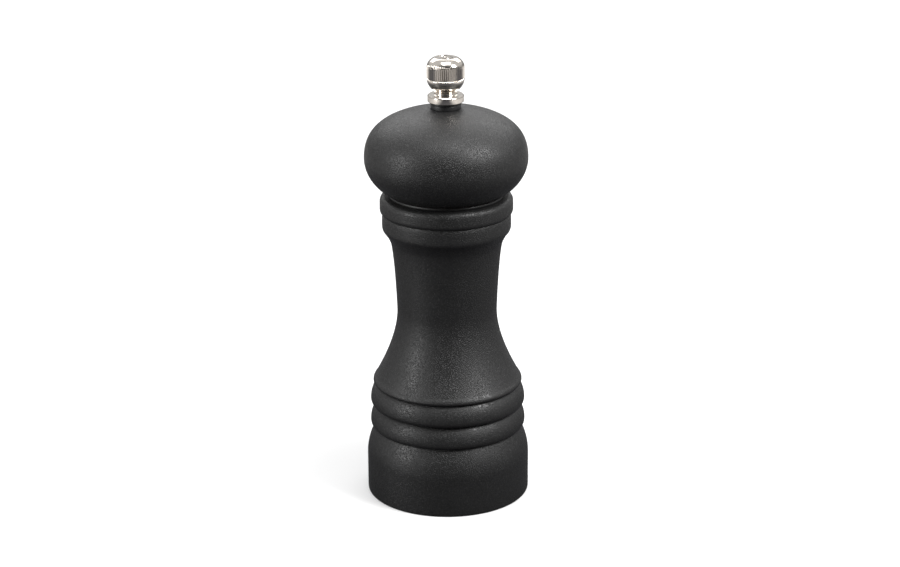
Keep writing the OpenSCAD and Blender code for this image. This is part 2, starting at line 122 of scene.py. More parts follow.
def finish_piece(name, bm, body, nodes, materials, sharp=32):
    """A clean mesh object that rides on a body and stands for its CAD nodes."""
    bmesh.ops.remove_doubles(bm, verts=bm.verts, dist=2e-6)
    bmesh.ops.dissolve_degenerate(bm, dist=1e-6, edges=bm.edges)
    bmesh.ops.recalc_face_normals(bm, faces=bm.faces)
    mesh = bpy.data.meshes.new(name)
    bm.to_mesh(mesh)
    bm.free()
    for material in materials:
        mesh.materials.append(material)
    for polygon in mesh.polygons:
        polygon.use_smooth = True
    mesh.set_sharp_from_angle(angle=math.radians(sharp))
    piece = bpy.data.objects.new(name, mesh)
    bpy.context.scene.collection.objects.link(piece)
    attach(piece, body)
    if nodes:
        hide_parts(*nodes)
    return piece


def turned(stations, steps=ROUND, closed=True, inside=None, bm=None, at=(0, 0)):
    """Faces swept round the axis through the stations.

    A station is (radius, height). Either may be a function of the angle, so that
    flutes, threads, burr teeth and square holes are part of the swept surface.
    inside(radius, height) says which faces take the second material."""
    bm = bm or bmesh.new()
    rings = []
    for r, z in stations:
        if not callable(r) and r < 1e-6:
            rings.append([bm.verts.new((at[0] * MM, at[1] * MM, (z(0) if callable(z) else z) * MM))])
            continue
        ring = []
        for k in range(steps):
            angle = TURN * k / steps
            rr = r(angle) if callable(r) else r
            zz = z(angle) if callable(z) else z
            ring.append(bm.verts.new(((at[0] + rr * math.cos(angle)) * MM,
                                      (at[1] + rr * math.sin(angle)) * MM, zz * MM)))
        rings.append(ring)
    pairs = list(zip(rings, rings[1:]))
    if closed:
        pairs.append((rings[-1], rings[0]))
    for low, high in pairs:
        if len(low) == 1 and len(high) == 1:
            continue
        for k in range(steps):
            n = (k + 1) % steps
            if len(low) == 1:
                corners = [low[0], high[n], high[k]]
            elif len(high) == 1:
                corners = [low[k], low[n], high[0]]
            else:
                corners = [low[k], low[n], high[n], high[k]]
            face = bm.faces.new(corners)
            if inside:
                middle = sum((v.co for v in corners), Vector()) / len(corners) / MM
                if inside(math.hypot(middle.x - at[0], middle.y - at[1]), middle.z):
                    face.material_index = 1
    return bm


def flat_plate(outer, holes, low, high):
    """A plate with holes, from outlines in its own plane."""
    bm = bmesh.new()
    edges = []
    for outline in [outer] + holes:
        ring = [bm.verts.new((x * MM, y * MM, low * MM)) for x, y in outline]
        edges += [bm.edges.new((a, b)) for a, b in zip(ring, ring[1:] + ring[:1])]
    bmesh.ops.triangle_fill(bm, use_beauty=True, use_dissolve=False, edges=edges)
    grown = bmesh.ops.extrude_face_region(bm, geom=bm.faces[:])
    top = [v for v in grown["geom"] if isinstance(v, bmesh.types.BMVert)]
    bmesh.ops.translate(bm, verts=top, vec=(0, 0, (high - low) * MM))
    return bm


def circle(r, steps, at=(0, 0)):
    """Points round a hole."""
    return [(at[0] + r * math.cos(TURN * k / steps), at[1] + r * math.sin(TURN * k / steps))
            for k in range(steps)]


def applied(piece):
    """The piece with its modifiers worked into its mesh."""
    evaluated = piece.evaluated_get(bpy.context.evaluated_depsgraph_get())
    mesh = bpy.data.meshes.new_from_object(evaluated)
    piece.modifiers.clear()
    piece.data = mesh
    return piece


def eased_edges(piece, size, segments=2, angle=40):
    """Small real rounds on a piece's sharp edges."""
    bevel = piece.modifiers.new("ease", "BEVEL")
    bevel.width = size * MM
    bevel.segments = segments
    bevel.limit_method = "ANGLE"
    bevel.angle_limit = math.radians(angle)
    bevel.harden_normals = True
    applied(piece)
    for polygon in piece.data.polygons:
        polygon.use_smooth = True
    piece.data.set_sharp_from_angle(angle=math.radians(45))
    return piece


def cut(piece, cutter):
    """Takes the cutter's volume out of the piece."""
    boolean = piece.modifiers.new("cut", "BOOLEAN")
    boolean.operation = "DIFFERENCE"
    boolean.solver = "EXACT"
    boolean.object = cutter
    applied(piece)
    bpy.data.objects.remove(cutter)
    return piece


# ---------------------------------------------------------------- shared shader groups

class Nodes:
    """Short hand for building one node tree."""

    def __init__(self, tree):
        self.tree = tree

    def add(self, kind, **values):
        node = self.tree.nodes.new(kind)
        for key, value in values.items():
            setattr(node, key, value)
        return node

    def link(self, source, target):
        self.tree.links.new(source, target)

    def maths(self, operation, a, b=None, clamp=False):
        node = self.add("ShaderNodeMath", operation=operation, use_clamp=clamp)
        for socket, value in zip(node.inputs, (a, b)):
            if value is None:
                continue
            if isinstance(value, (int, float)):
                socket.default_value = value
            else:
                self.link(value, socket)
        return node.outputs[0]

    def mix_colour(self, factor, a, b, blend="MIX"):
        node = self.add("ShaderNodeMix", data_type="RGBA", blend_type=blend)
        for socket, value in ((node.inputs[0], factor), (node.inputs[6], a), (node.inputs[7], b)):
            if isinstance(value, (int, float, tuple)):
                socket.default_value = value
            else:
                self.link(value, socket)
        return node.outputs[2]

    def ramp(self, source, low, high, out_low=0.0, out_high=1.0):
        node = self.add("ShaderNodeMapRange", interpolation_type="SMOOTHSTEP")
        self.link(source, node.inputs["Value"])
        for key, value in (("From Min", low), ("From Max", high), ("To Min", out_low), ("To Max", out_high)):
            node.inputs[key].default_value = value
        return node.outputs[0]


def shader_group(name, inputs, outputs):
    """An empty shader node group with its named sockets, its node helper and its ends."""
    tree = bpy.data.node_groups.new(name, "ShaderNodeTree")
    for socket, kind, default in inputs:
        item = tree.interface.new_socket(name=socket, in_out="INPUT", socket_type=kind)
        item.default_value = default
    for socket, kind in outputs:
        tree.interface.new_socket(name=socket, in_out="OUTPUT", socket_type=kind)
    nodes = Nodes(tree)
    return tree, nodes, nodes.add("NodeGroupInput"), nodes.add("NodeGroupOutput")


def sprayed_film_group():
    """Fine grit and slow unevenness of a sprayed or moulded matte surface."""
    tree, n, start, end = shader_group(
        "sprayed film",
        [("Grit Size", "NodeSocketFloat", 0.0004), ("Grit Depth", "NodeSocketFloat", 1.0),
         ("Cloud Size", "NodeSocketFloat", 0.012)],
        [("Fleck", "NodeSocketFloat"), ("Cloud", "NodeSocketFloat"), ("Height", "NodeSocketFloat")])
    place = n.add("ShaderNodeTexCoord").outputs["Object"]
    grit = n.add("ShaderNodeTexNoise")
    grit.inputs["Detail"].default_value = 3.0
    grit.inputs["Roughness"].default_value = 0.6
    n.link(place, grit.inputs["Vector"])
    n.link(n.maths("DIVIDE", 1.0, start.outputs["Grit Size"]), grit.inputs["Scale"])
    cell = n.add("ShaderNodeTexVoronoi", feature="F1")
    n.link(place, cell.inputs["Vector"])
    n.link(n.maths("DIVIDE", 1.0, start.outputs["Grit Size"]), cell.inputs["Scale"])
    cloud = n.add("ShaderNodeTexNoise")
    cloud.inputs["Detail"].default_value = 4.0
    n.link(place, cloud.inputs["Vector"])
    n.link(n.maths("DIVIDE", 1.0, start.outputs["Cloud Size"]), cloud.inputs["Scale"])
    bump = n.maths("MULTIPLY", grit.outputs["Fac"], 0.3)
    pit = n.maths("MULTIPLY", n.ramp(cell.outputs["Distance"], 0.05, 0.6), 0.7)
    shade = n.add("ShaderNodeSeparateColor")
    n.link(cell.outputs["Color"], shade.inputs[0])
    n.link(n.maths("MULTIPLY", n.maths("ADD", bump, pit), start.outputs["Grit Depth"]), end.inputs["Height"])
    n.link(n.ramp(shade.outputs["Red"], 0.55, 1.0), end.inputs["Fleck"])
    n.link(n.ramp(cloud.outputs["Fac"], 0.35, 0.68), end.inputs["Cloud"])
    return tree


def lathe_lines_group():
    """Fine rings left by turning or polishing round the axis."""
    tree, n, start, end = shader_group(
        "lathe lines",
        [("Line Size", "NodeSocketFloat", 0.0002), ("Wander", "NodeSocketFloat", 0.1)],
        [("Line", "NodeSocketFloat"), ("Height", "NodeSocketFloat")])
    place = n.add("ShaderNodeTexCoord").outputs["Object"]
    split = n.add("ShaderNodeSeparateXYZ")
    n.link(place, split.inputs[0])
    across = n.maths("SQRT", n.maths("ADD", n.maths("POWER", split.outputs["X"], 2.0),
                                     n.maths("POWER", split.outputs["Y"], 2.0)))
    join = n.add("ShaderNodeCombineXYZ")
    n.link(across, join.inputs["X"])
    n.link(split.outputs["Z"], join.inputs["Y"])
    n.link(n.maths("MULTIPLY", split.outputs["X"], start.outputs["Wander"]), join.inputs["Z"])
    lines = n.add("ShaderNodeTexNoise")
    lines.inputs["Detail"].default_value = 3.0
    n.link(join.outputs[0], lines.inputs["Vector"])
    n.link(n.maths("DIVIDE", 1.0, start.outputs["Line Size"]), lines.inputs["Scale"])
    n.link(n.ramp(lines.outputs["Fac"], 0.35, 0.7), end.inputs["Line"])
    n.link(lines.outputs["Fac"], end.inputs["Height"])
    return tree


def handling_group():
    """Broad faint smears and short hairline scratches from handling."""
    tree, n, start, end = shader_group(
        "handling marks",
        [("Smear Size", "NodeSocketFloat", 0.006), ("Scratch Size", "NodeSocketFloat", 0.0016)],
        [("Smear", "NodeSocketFloat"), ("Scratch", "NodeSocketFloat")])
    place = n.add("ShaderNodeTexCoord").outputs["Object"]
    smear = n.add("ShaderNodeTexNoise")
    smear.inputs["Detail"].default_value = 5.0
    smear.inputs["Distortion"].default_value = 0.8
    n.link(place, smear.inputs["Vector"])
    n.link(n.maths("DIVIDE", 1.0, start.outputs["Smear Size"]), smear.inputs["Scale"])
    turned_place = n.add("ShaderNodeMapping")
    turned_place.inputs["Rotation"].default_value = (0.6, 0.9, 0.4)
    turned_place.inputs["Scale"].default_value = (1.0, 14.0, 1.0)
    n.link(place, turned_place.inputs["Vector"])
    scratch = n.add("ShaderNodeTexNoise")
    scratch.inputs["Detail"].default_value = 1.0
    n.link(turned_place.outputs[0], scratch.inputs["Vector"])
    n.link(n.maths("DIVIDE", 1.0, start.outputs["Scratch Size"]), scratch.inputs["Scale"])
    n.link(n.ramp(smear.outputs["Fac"], 0.4, 0.7), end.inputs["Smear"])
    n.link(n.ramp(scratch.outputs["Fac"], 0.68, 0.74), end.inputs["Scratch"])
    return tree


FILM = sprayed_film_group()
LINES = lathe_lines_group()
HANDLING = handling_group()


def new_material(name, colour, metallic, roughness):
    """A material with its shader, and the helper to build on."""
    material = bpy.data.materials.new(name)
    material.use_nodes = True
    material.diffuse_color = (*colour, 1)
    n = Nodes(material.node_tree)
    shader = material.node_tree.nodes["Principled BSDF"]
    shader.inputs["Base Color"].default_value = (*colour, 1)
    shader.inputs["Metallic"].default_value = metallic
    shader.inputs["Roughness"].default_value = roughness
    return material, n, shader


def placed(n, group, **values):
    """A shared group in a material, with its sockets set."""
    node = n.add("ShaderNodeGroup", node_tree=group)
    for key, value in values.items():
        node.inputs[key.replace("_", " ")].default_value = value
    return node


def bumped(n, shader, height, strength, distance):
    """Fine relief on a shader, from a height."""
    bump = n.add("ShaderNodeBump")
    bump.inputs["Strength"].default_value = strength
    bump.inputs["Distance"].default_value = distance
    n.link(height, bump.inputs["Height"])
    n.link(bump.outputs["Normal"], shader.inputs["Normal"])


# ---------------------------------------------------------------- finishes

def black_lacquer():
    """Sprayed matte black over fine-grained wood, faintly gritty."""
    material, n, shader = new_material("black_lacquer", (0.012, 0.012, 0.012), 0.0, 0.46)
    film = placed(n, FILM, Grit_Size=0.00038, Grit_Depth=1.0, Cloud_Size=0.011)
    marks = placed(n, HANDLING, Smear_Size=0.009, Scratch_Size=0.0011)
    flecked = n.mix_colour(n.maths("MULTIPLY", film.outputs["Fleck"], 0.5), (0.0070, 0.0070, 0.0070, 1),
                           (0.026, 0.0255, 0.025, 1))
    clouded = n.mix_colour(n.maths("MULTIPLY", film.outputs["Cloud"], 0.3), flecked, (0.011, 0.011, 0.011, 1))
    n.link(clouded, shader.inputs["Base Color"])
    rough = n.maths("SUBTRACT", 0.46, n.maths("MULTIPLY", film.outputs["Fleck"], 0.14))
    rough = n.maths("ADD", rough, n.maths("MULTIPLY", marks.outputs["Smear"], 0.05))
    n.link(rough, shader.inputs["Roughness"])
    bumped(n, shader, film.outputs["Height"], 1.0, 0.00011)
    return material


def bare_beech():
    """Unfinished turned beech: pale pinkish brown, short dark flecks along the grain."""
    material, n, shader = new_material("bare_beech", (0.50, 0.31, 0.17), 0.0, 0.62)
    place = n.add("ShaderNodeTexCoord").outputs["Object"]
    stretch = n.add("ShaderNodeMapping")
    stretch.inputs["Scale"].default_value = (1.0, 1.0, 0.09)
    n.link(place, stretch.inputs["Vector"])
    fleck = n.add("ShaderNodeTexNoise")
    fleck.inputs["Scale"].default_value = 2600.0
    fleck.inputs["Detail"].default_value = 2.0
    n.link(stretch.outputs[0], fleck.inputs["Vector"])
    rings = n.add("ShaderNodeTexNoise")
    rings.inputs["Scale"].default_value = 260.0
    rings.inputs["Detail"].default_value = 5.0
    rings.inputs["Distortion"].default_value = 0.6
    n.link(stretch.outputs[0], rings.inputs["Vector"])
    lines = placed(n, LINES, Line_Size=0.0003, Wander=0.05)
    ground = n.mix_colour(n.ramp(rings.outputs["Fac"], 0.35, 0.66), (0.56, 0.36, 0.20, 1),
                          (0.42, 0.25, 0.13, 1))
    colour = n.mix_colour(n.ramp(fleck.outputs["Fac"], 0.56, 0.66), ground, (0.28, 0.15, 0.075, 1))
    n.link(colour, shader.inputs["Base Color"])
    n.link(n.maths("ADD", 0.55, n.maths("MULTIPLY", lines.outputs["Line"], 0.15)), shader.inputs["Roughness"])
    bumped(n, shader, n.maths("ADD", lines.outputs["Height"], fleck.outputs["Fac"]), 0.3, 0.0001)
    return material


def nickel():
    """Polished nickel plate, slightly warm, with faint polishing rings and finger smears."""
    material, n, shader = new_material("nickel", (0.80, 0.755, 0.70), 1.0, 0.1)
    lines = placed(n, LINES, Line_Size=0.00012, Wander=0.3)
    marks = placed(n, HANDLING, Smear_Size=0.003, Scratch_Size=0.0006)
    colour = n.mix_colour(n.maths("MULTIPLY", marks.outputs["Smear"], 0.35), (0.82, 0.765, 0.70, 1),
                          (0.72, 0.665, 0.60, 1))
    n.link(colour, shader.inputs["Base Color"])
    rough = n.maths("ADD", 0.07, n.maths("MULTIPLY", marks.outputs["Smear"], 0.09))
    rough = n.maths("ADD", rough, n.maths("MULTIPLY", marks.outputs["Scratch"], 0.12))
    n.link(rough, shader.inputs["Roughness"])
    bumped(n, shader, lines.outputs["Height"], 0.05, 0.00003)
    return material


def steel(name, colour, roughness, line_size, grit=0.0):
    """Plain or plated steel with fine lines and uneven sheen."""
    material, n, shader = new_material(name, colour, 1.0, roughness)
    lines = placed(n, LINES, Line_Size=line_size, Wander=0.6)
    marks = placed(n, HANDLING, Smear_Size=0.004, Scratch_Size=0.0009)
    film = placed(n, FILM, Grit_Size=0.0003, Grit_Depth=1.0, Cloud_Size=0.005)
    dark = tuple(c * 0.72 for c in colour)
    shaded = n.mix_colour(n.maths("MULTIPLY", film.outputs["Cloud"], 0.6), (*colour, 1), (*dark, 1))
    n.link(shaded, shader.inputs["Base Color"])
    rough = n.maths("ADD", roughness, n.maths("MULTIPLY", marks.outputs["Smear"], 0.12))
    rough = n.maths("ADD", rough, n.maths("MULTIPLY", lines.outputs["Line"], 0.10))
    n.link(rough, shader.inputs["Roughness"])
    height = n.maths("ADD", lines.outputs["Height"], n.maths("MULTIPLY", film.outputs["Height"], grit))
    bumped(n, shader, height, 0.15, 0.00005)
    return material


def nylon(name, colour, dark, roughness):
    """Moulded nylon, faintly uneven."""
    material, n, shader = new_material(name, colour, 0.0, roughness)
    film = placed(n, FILM, Grit_Size=0.0005, Grit_Depth=0.7, Cloud_Size=0.004)
    shaded = n.mix_colour(film.outputs["Cloud"], (*colour, 1), (*dark, 1))
    n.link(shaded, shader.inputs["Base Color"])
    rough = n.maths("ADD", roughness, n.maths("MULTIPLY", film.outputs["Fleck"], 0.12))
    n.link(rough, shader.inputs["Roughness"])
    bumped(n, shader, film.outputs["Height"], 0.2, 0.00008)
    return material


LACQUER = black_lacquer()
BEECH = bare_beech()
NICKEL = nickel()
ARROW_FILL = nylon("arrow_fill", (0.012, 0.011, 0.010), (0.020, 0.018, 0.016), 0.5)
PLATE_STEEL = steel("plate_steel", (0.62, 0.61, 0.59), 0.28, 0.0004)
BURR_STEEL = steel("burr_steel", (0.30, 0.30, 0.30), 0.38, 0.0003, grit=1.0)
SHAFT_STEEL = steel("shaft_steel", (0.66, 0.66, 0.65), 0.24, 0.0005)
SPRING_STEEL = steel("spring_steel", (0.52, 0.52, 0.52), 0.22, 0.0006)
SCREW_STEEL = steel("screw_steel", (0.70, 0.68, 0.60), 0.25, 0.0003)
BLACK_NYLON = nylon("black_nylon", (0.018, 0.018, 0.019), (0.010, 0.010, 0.010), 0.42)
WHITE_NYLON = nylon("white_nylon", (0.72, 0.69, 0.58), (0.62, 0.59, 0.48), 0.45)


# ---------------------------------------------------------------- wooden pieces

# Heights and radii of the body's outline, in millimetres, as on the CAD solid.
BASE_R = radius("mill_body")
BASE_BAND = 25.5
LOWER_BEAD = 8.35
UPPER_BEAD = 8.4
BEAD_R = BASE_R - 1.37
GROOVE_R = BEAD_R - 2.6
SHOULDER_R = 27.59
SWEEP = 27.1
WAIST_R = 18.29
NECK_R = 20.56
COLLAR_R = 23.45
COLLAR_STEP = 0.75
COLLAR_H = 17.1
FLARE_H = 6.1
RIM_BAND = 6.5
RIM_Z = high_z("mill_body")
CHAMBER_R = 13.5
STATOR_R = radius("stator")
THREAD_BORE_R = 2.56     # clears the shaft's thread
SQUARE_HOLE = 3.12       # half the width of a hole that slides on the square shaft


def bead(z, h, r, low_r):
    """One bead between two grooves, fullest a quarter of the way up."""
    full_z = z + h / 4
    return (curve((low_r, z), (low_r + 0.6 * (r - low_r), z), (r, full_z - 0.15 * h), (r, full_z), 12)
            + curve((r, full_z), (r, full_z + 0.34 * h), (GROOVE_R + 0.45 * (r - GROOVE_R), z + 0.91 * h),
                    (GROOVE_R, z + h), 16))


def body_outside():
    """Outline up the outside of the body, from the base to the rim."""
    base_edge = 0.6
    middle = BASE_BAND + LOWER_BEAD
    upper = middle + UPPER_BEAD
    shoulder = upper + 1
    waist = shoulder + SWEEP
    flare = RIM_Z - COLLAR_H
    collar = flare + FLARE_H
    band = RIM_Z - RIM_BAND
    rim_r = COLLAR_R + COLLAR_STEP
    low_groove = GROOVE_R + 0.87
    points = curve((BASE_R - base_edge, 0), (BASE_R - 0.2, 0), (BASE_R, 0.3), (BASE_R, 0.96), 6)
    points += [(BASE_R, BASE_BAND * 0.3), (BASE_R, BASE_BAND * 0.554)]
    points += curve((BASE_R, BASE_BAND * 0.554), (BASE_R, BASE_BAND * 0.777),
                    (GROOVE_R + 1.5, BASE_BAND - 1.4), (low_groove, BASE_BAND), 28)
    points += bead(BASE_BAND, LOWER_BEAD, BEAD_R, low_groove)
    points += bead(middle, UPPER_BEAD, BEAD_R - 0.12, GROOVE_R)
    sweep = [p for p in curve((SHOULDER_R, shoulder), (SHOULDER_R, shoulder + 0.1),
                              (WAIST_R, waist - SWEEP * 0.454), (WAIST_R, waist), 60)
             if p[1] > shoulder + 1.6]
    points += curve((GROOVE_R, upper), (SHOULDER_R, upper), (SHOULDER_R + 0.5, upper + 1.05), sweep[0], 16)
    points += sweep[1:]
    points += curve((WAIST_R, waist), (WAIST_R, waist + 2.6), (NECK_R - 1.36, flare - 3.2),
                    (NECK_R, flare), 30)
    points += curve((NECK_R, flare), (NECK_R + 1.9, flare + 4.5), (COLLAR_R, collar - 2.7),
                    (COLLAR_R, collar), 24)
    points += curve((COLLAR_R, collar), (COLLAR_R, band - 1.6), (COLLAR_R, band - 0.7),
                    (COLLAR_R - 0.35, band - 0.1), 12)
    points += curve((COLLAR_R - 0.35, band - 0.1), (COLLAR_R + 0.2, band + 0.1), (rim_r, band + 0.7),
                    (rim_r, band + 1.6), 10)
    points += curve((rim_r, RIM_Z - 2.3), (rim_r, RIM_Z - 1), (rim_r - 0.7, RIM_Z - 0.1),
                    (rim_r - 1.9, RIM_Z), 14)
    return points


def make_body():
    outlet_r = 23.0
    outlet_z = high_z("crossbar")
    seat_z = high_z("stator") + 1.2
    mouth_z = low_z("neck_ring")
    mouth_r = CHAMBER_R + 2.02
    bore = eased([(mouth_r, RIM_Z), (mouth_r, mouth_z), (CHAMBER_R, mouth_z), (CHAMBER_R, seat_z),
                  (STATOR_R + 0.02, seat_z), (STATOR_R + 0.02, outlet_z), (outlet_r, outlet_z),
                  (outlet_r, 0)], 0.5, closed=False)
    stations = body_outside() + bore + [(BASE_R - 0.6, 0)]
    bare = lambda r, z: r < mouth_r + 0.3 and seat_z - 15 < z < RIM_Z - 0.3
    return finish_piece("mill_body_turned", turned(stations, inside=bare), "casing",
                        ["mill_body"], [LACQUER, BEECH], sharp=50)


def make_head():
    foot = high_z("neck_ring") + 0.05
    top = high_z("head")
    head_r = radius("head")
    foot_r = 20.6
    flat_r = 6.0
    widest = foot + 13.12
    tenon_r = CHAMBER_R - 0.1
    tenon_z = low_z("head")
    bore_r = 5.0
    outside = curve((foot_r, foot), (foot_r + 0.9, foot), (foot_r + 1.3, foot + 0.8),
                    (foot_r + 2, foot + 1.11), 8)
    outside += curve((foot_r + 2, foot + 1.11), (foot_r + 3.1, foot + 1.71), (head_r, widest - 7.2),
                     (head_r, widest), 40)
    crown = top - widest
    outside += curve((head_r, widest), (head_r, widest + crown * 0.583),
                     (head_r * 0.755, top - crown * 0.143), (flat_r, top), 56)
    inner = eased([(flat_r, top), (bore_r, top), (bore_r, tenon_z), (tenon_r, tenon_z), (tenon_r, foot),
                   (foot_r, foot)], 0.4, closed=False)
    bare = lambda r, z: z < foot + 0.02 or r < bore_r + 0.05
    return finish_piece("head_turned", turned(outside + inner[1:-1], inside=bare), "turning_head",
                        ["head"], [LACQUER, BEECH], sharp=50)


# ---------------------------------------------------------------- knob

def make_knob():
    foot = low_z("knob")
    top = high_z("knob")
    knob_r = radius("knob")
    flange_r, neck_r, flat_r = 6.57, 3.95, 3.95
    flange_top = foot + 2.5
    bowl_z = flange_top + 1.35
    grip_z = flange_top + 5.6
    dome_z = top - 3.75
    flutes = 54
    flute_low = grip_z + 0.1
    flute_depth = 0.4
    bore_r = THREAD_BORE_R
    bore_top = high_z("shaft") + 2.0

    def ridge(angle):
        """Radius over the grip: rounded ridges with a narrow valley between them."""
        return knob_r - flute_depth * abs(math.cos(angle * flutes / 2)) ** 1.6

    def fluted(r, z):
        """The outline cut back to the ridges, from the grip's foot until the dome is narrower."""
        fade = min(1.0, max(0.0, (z - flute_low) / 0.3))
        if fade <= 0 or r < knob_r - flute_depth:
            return r
        return lambda angle: min(r, ridge(angle) * fade + knob_r * (1 - fade))

    stations = eased([(bore_r + 0.25, foot), (flange_r, foot), (flange_r, flange_top - 0.42),
                      (flange_r - 0.42, flange_top)], 0.2, steps=5, closed=False)
    stations += [(neck_r + 0.6, flange_top)]
    stations += curve((neck_r + 0.6, flange_top), (neck_r + 0.2, flange_top), (neck_r, flange_top + 0.2),
                      (neck_r, flange_top + 0.6), 8)
    stations += [(neck_r, bowl_z - 0.35), (neck_r + 0.1, bowl_z - 0.15), (neck_r + 0.35, bowl_z)]
    bowl = curve((neck_r + 0.35, bowl_z), (neck_r + 0.35, bowl_z), (knob_r, grip_z - 2.2),
                 (knob_r, grip_z), 24)
    straight = [(knob_r, flute_low + step) for step in (0, 0.06, 0.14, 0.22, 0.3, 0.5)] + [(knob_r, dome_z)]
    dome = curve((knob_r, dome_z), (knob_r, dome_z + 2.55), (flat_r + 0.45, top - 0.02), (flat_r, top), 34)
    stations += [(fluted(r, z), z) for r, z in bowl + straight + dome]

    engraving = 0.16

    def arrow_depth(r, angle):
        """Depth of the engraved turning arrow: most of a ring with a barbed end, and a centre dot."""
        track, half, dot_r = 2.35, 0.36, 0.55
        stem_sweep, barb_sweep, barb_half = 4.6, 0.6, 1.1
        sweep = (angle + 2.2) % TURN
        if sweep < stem_sweep and abs(r - track) < half:
            return engraving
        ahead = (sweep - stem_sweep) / barb_sweep
        if 0 <= ahead < 1 and abs(r - track) < barb_half * (1 - ahead):
            return engraving
        return engraving if r < dot_r else 0.0

    def engraved(r, z):
        """Whether a face lies at the bottom of the engraving."""
        return r < 3.6 and top - 0.17 < z < top - 0.15

    rings = 40
    for i in range(1, rings):
        r = (flat_r - 0.05) * (1 - i / rings)
        stations.append((r, lambda angle, r=r: top - arrow_depth(r, angle)))
    stations.append((0, top - engraving))
    bm = turned(stations, steps=flutes * 8, closed=False, inside=engraved)
    bore = [(bore_r + 0.25, foot), (bore_r, foot + 0.3), (bore_r, bore_top), (0, bore_top + 1.2)]
    turned(bore, steps=flutes * 8, closed=False, bm=bm)
    return finish_piece("knob_fluted", bm, "grind_knob", ["knob"], [NICKEL, ARROW_FILL], sharp=38)


# ---------------------------------------------------------------- rings, bushes and washers

def make_ring(name, node, outline, body, material, ease=0.15, steps=SMALL_ROUND):
    """A small turned fitting from its closed outline."""
    bm = turned(eased(outline, ease, steps=3), steps=steps)
    return finish_piece(name, bm, body, [node], [material], sharp=40)


def make_turned_fittings():
    tenon_bore = CHAMBER_R - 0.04
    low, high = low_z("neck_ring"), high_z("neck_ring")
    make_ring("neck_glide_ring", "neck_ring",
              [(tenon_bore, low), (CHAMBER_R + 2, low), (CHAMBER_R + 2, RIM_Z), (21.0, RIM_Z), (21.0, high),
               (tenon_bore, high)], "casing", BLACK_NYLON, ease=0.35, steps=ROUND)
    # The black flange of this bush and the black washer above it make the dark collar under the knob: partly
    # real nylon spacers, partly a painted shadow for the shade under the knob's flange.
    low, high = low_z("head_bush"), high_z("head_bush")
    head_top = high_z("head")
    make_ring("head_shaft_bush", "head_bush",
              [(THREAD_BORE_R, low), (4.98, low), (4.98, head_top), (5.5, head_top), (5.5, high),
               (THREAD_BORE_R, high)],
              "turning_head", BLACK_NYLON, ease=0.2)
    low, high = low_z("knob_washer"), high_z("knob_washer")
    make_ring("knob_seat_washer", "knob_washer",
              [(2.7, low), (5.65, low), (5.65, high), (2.7, high)], "knob_seat", BLACK_NYLON)
    low, high = low_z("bridge_bush"), high_z("bridge_bush")
    make_ring("bridge_shaft_bush", "bridge_bush",
              [(4.06, low), (6.21, low), (6.21, low + 0.75), (5.01, low + 0.75), (5.01, high), (4.06, high)],
              "casing", WHITE_NYLON)
    low, high = low_z("crossbar_bush"), high_z("crossbar_bush")
    make_ring("crossbar_shaft_bush", "crossbar_bush",
              [(3.01, low), (3.96, low), (3.96, high - 0.4), (5.16, high - 0.4), (5.16, high), (3.01, high)],
              "casing", WHITE_NYLON, ease=0.12)
    hole = square(SQUARE_HOLE)
    for name, node, body in (("spring_top_washer", "spring_washer", "spring_pack"),
                             ("rotor_top_washer", "rotor_washer", "spindle"),
                             ("head_drive_plate", "drive_plate", "turning_head")):
        low, high, r = low_z(node), high_z(node), radius(node)
        ease = 0.12
        stations = [(hole, low), (r - ease, low), (r, low + ease), (r, high - ease), (r - ease, high),
                    (hole, high)]
        finish_piece(name, turned(stations, steps=ROUND), body, [node], [PLATE_STEEL],
                     sharp=50)


# ---------------------------------------------------------------- shaft and spring

def threaded(root, crest, pitch):
    """Radius of a screw thread as a function of angle, at one height."""
    def at_height(z):
        def r(angle):
            step = (z / pitch - angle / TURN) % 1.0
            rise = max(0.0, min(1.0, (0.5 - abs(step - 0.5)) * 2.6 - 0.25))
            return root + (crest - root) * rise
        return r
    return at_height


def make_shaft():
    low, top = low_z("shaft"), high_z("shaft")
    half = radius("shaft")
    journal = half - 0.05
    square_low = low_z("rotor")
    square_top = high_z("head") - 4.9
    clip_z = low_z("rotor_clip")
    bar = square(half, corner=half * 4 / 3)
    thread = threaded(2.08, 2.5, 0.8)
    stations = [(0, low), (journal - 0.5, low), (journal, low + 0.5), (journal, clip_z - 0.05),
                (journal - 0.5, clip_z - 0.05), (journal - 0.5, clip_z + 0.85), (journal, clip_z + 0.85),
                (journal, square_low), (bar, square_low + 0.25), (bar, square_top - 0.6),
                (lambda angle: min(bar(angle), 2.9), square_top), (2.05, square_top + 0.15)]
    z = square_top + 0.2
    while z < top - 0.5:
        stations.append((thread(z), z))
        z += 0.08
    stations += [(2.1, top - 0.42), (1.7, top), (0, top)]
    return finish_piece("square_shaft", turned(stations, steps=SMALL_ROUND), "spindle",
                        ["shaft"], [SHAFT_STEEL], sharp=35)


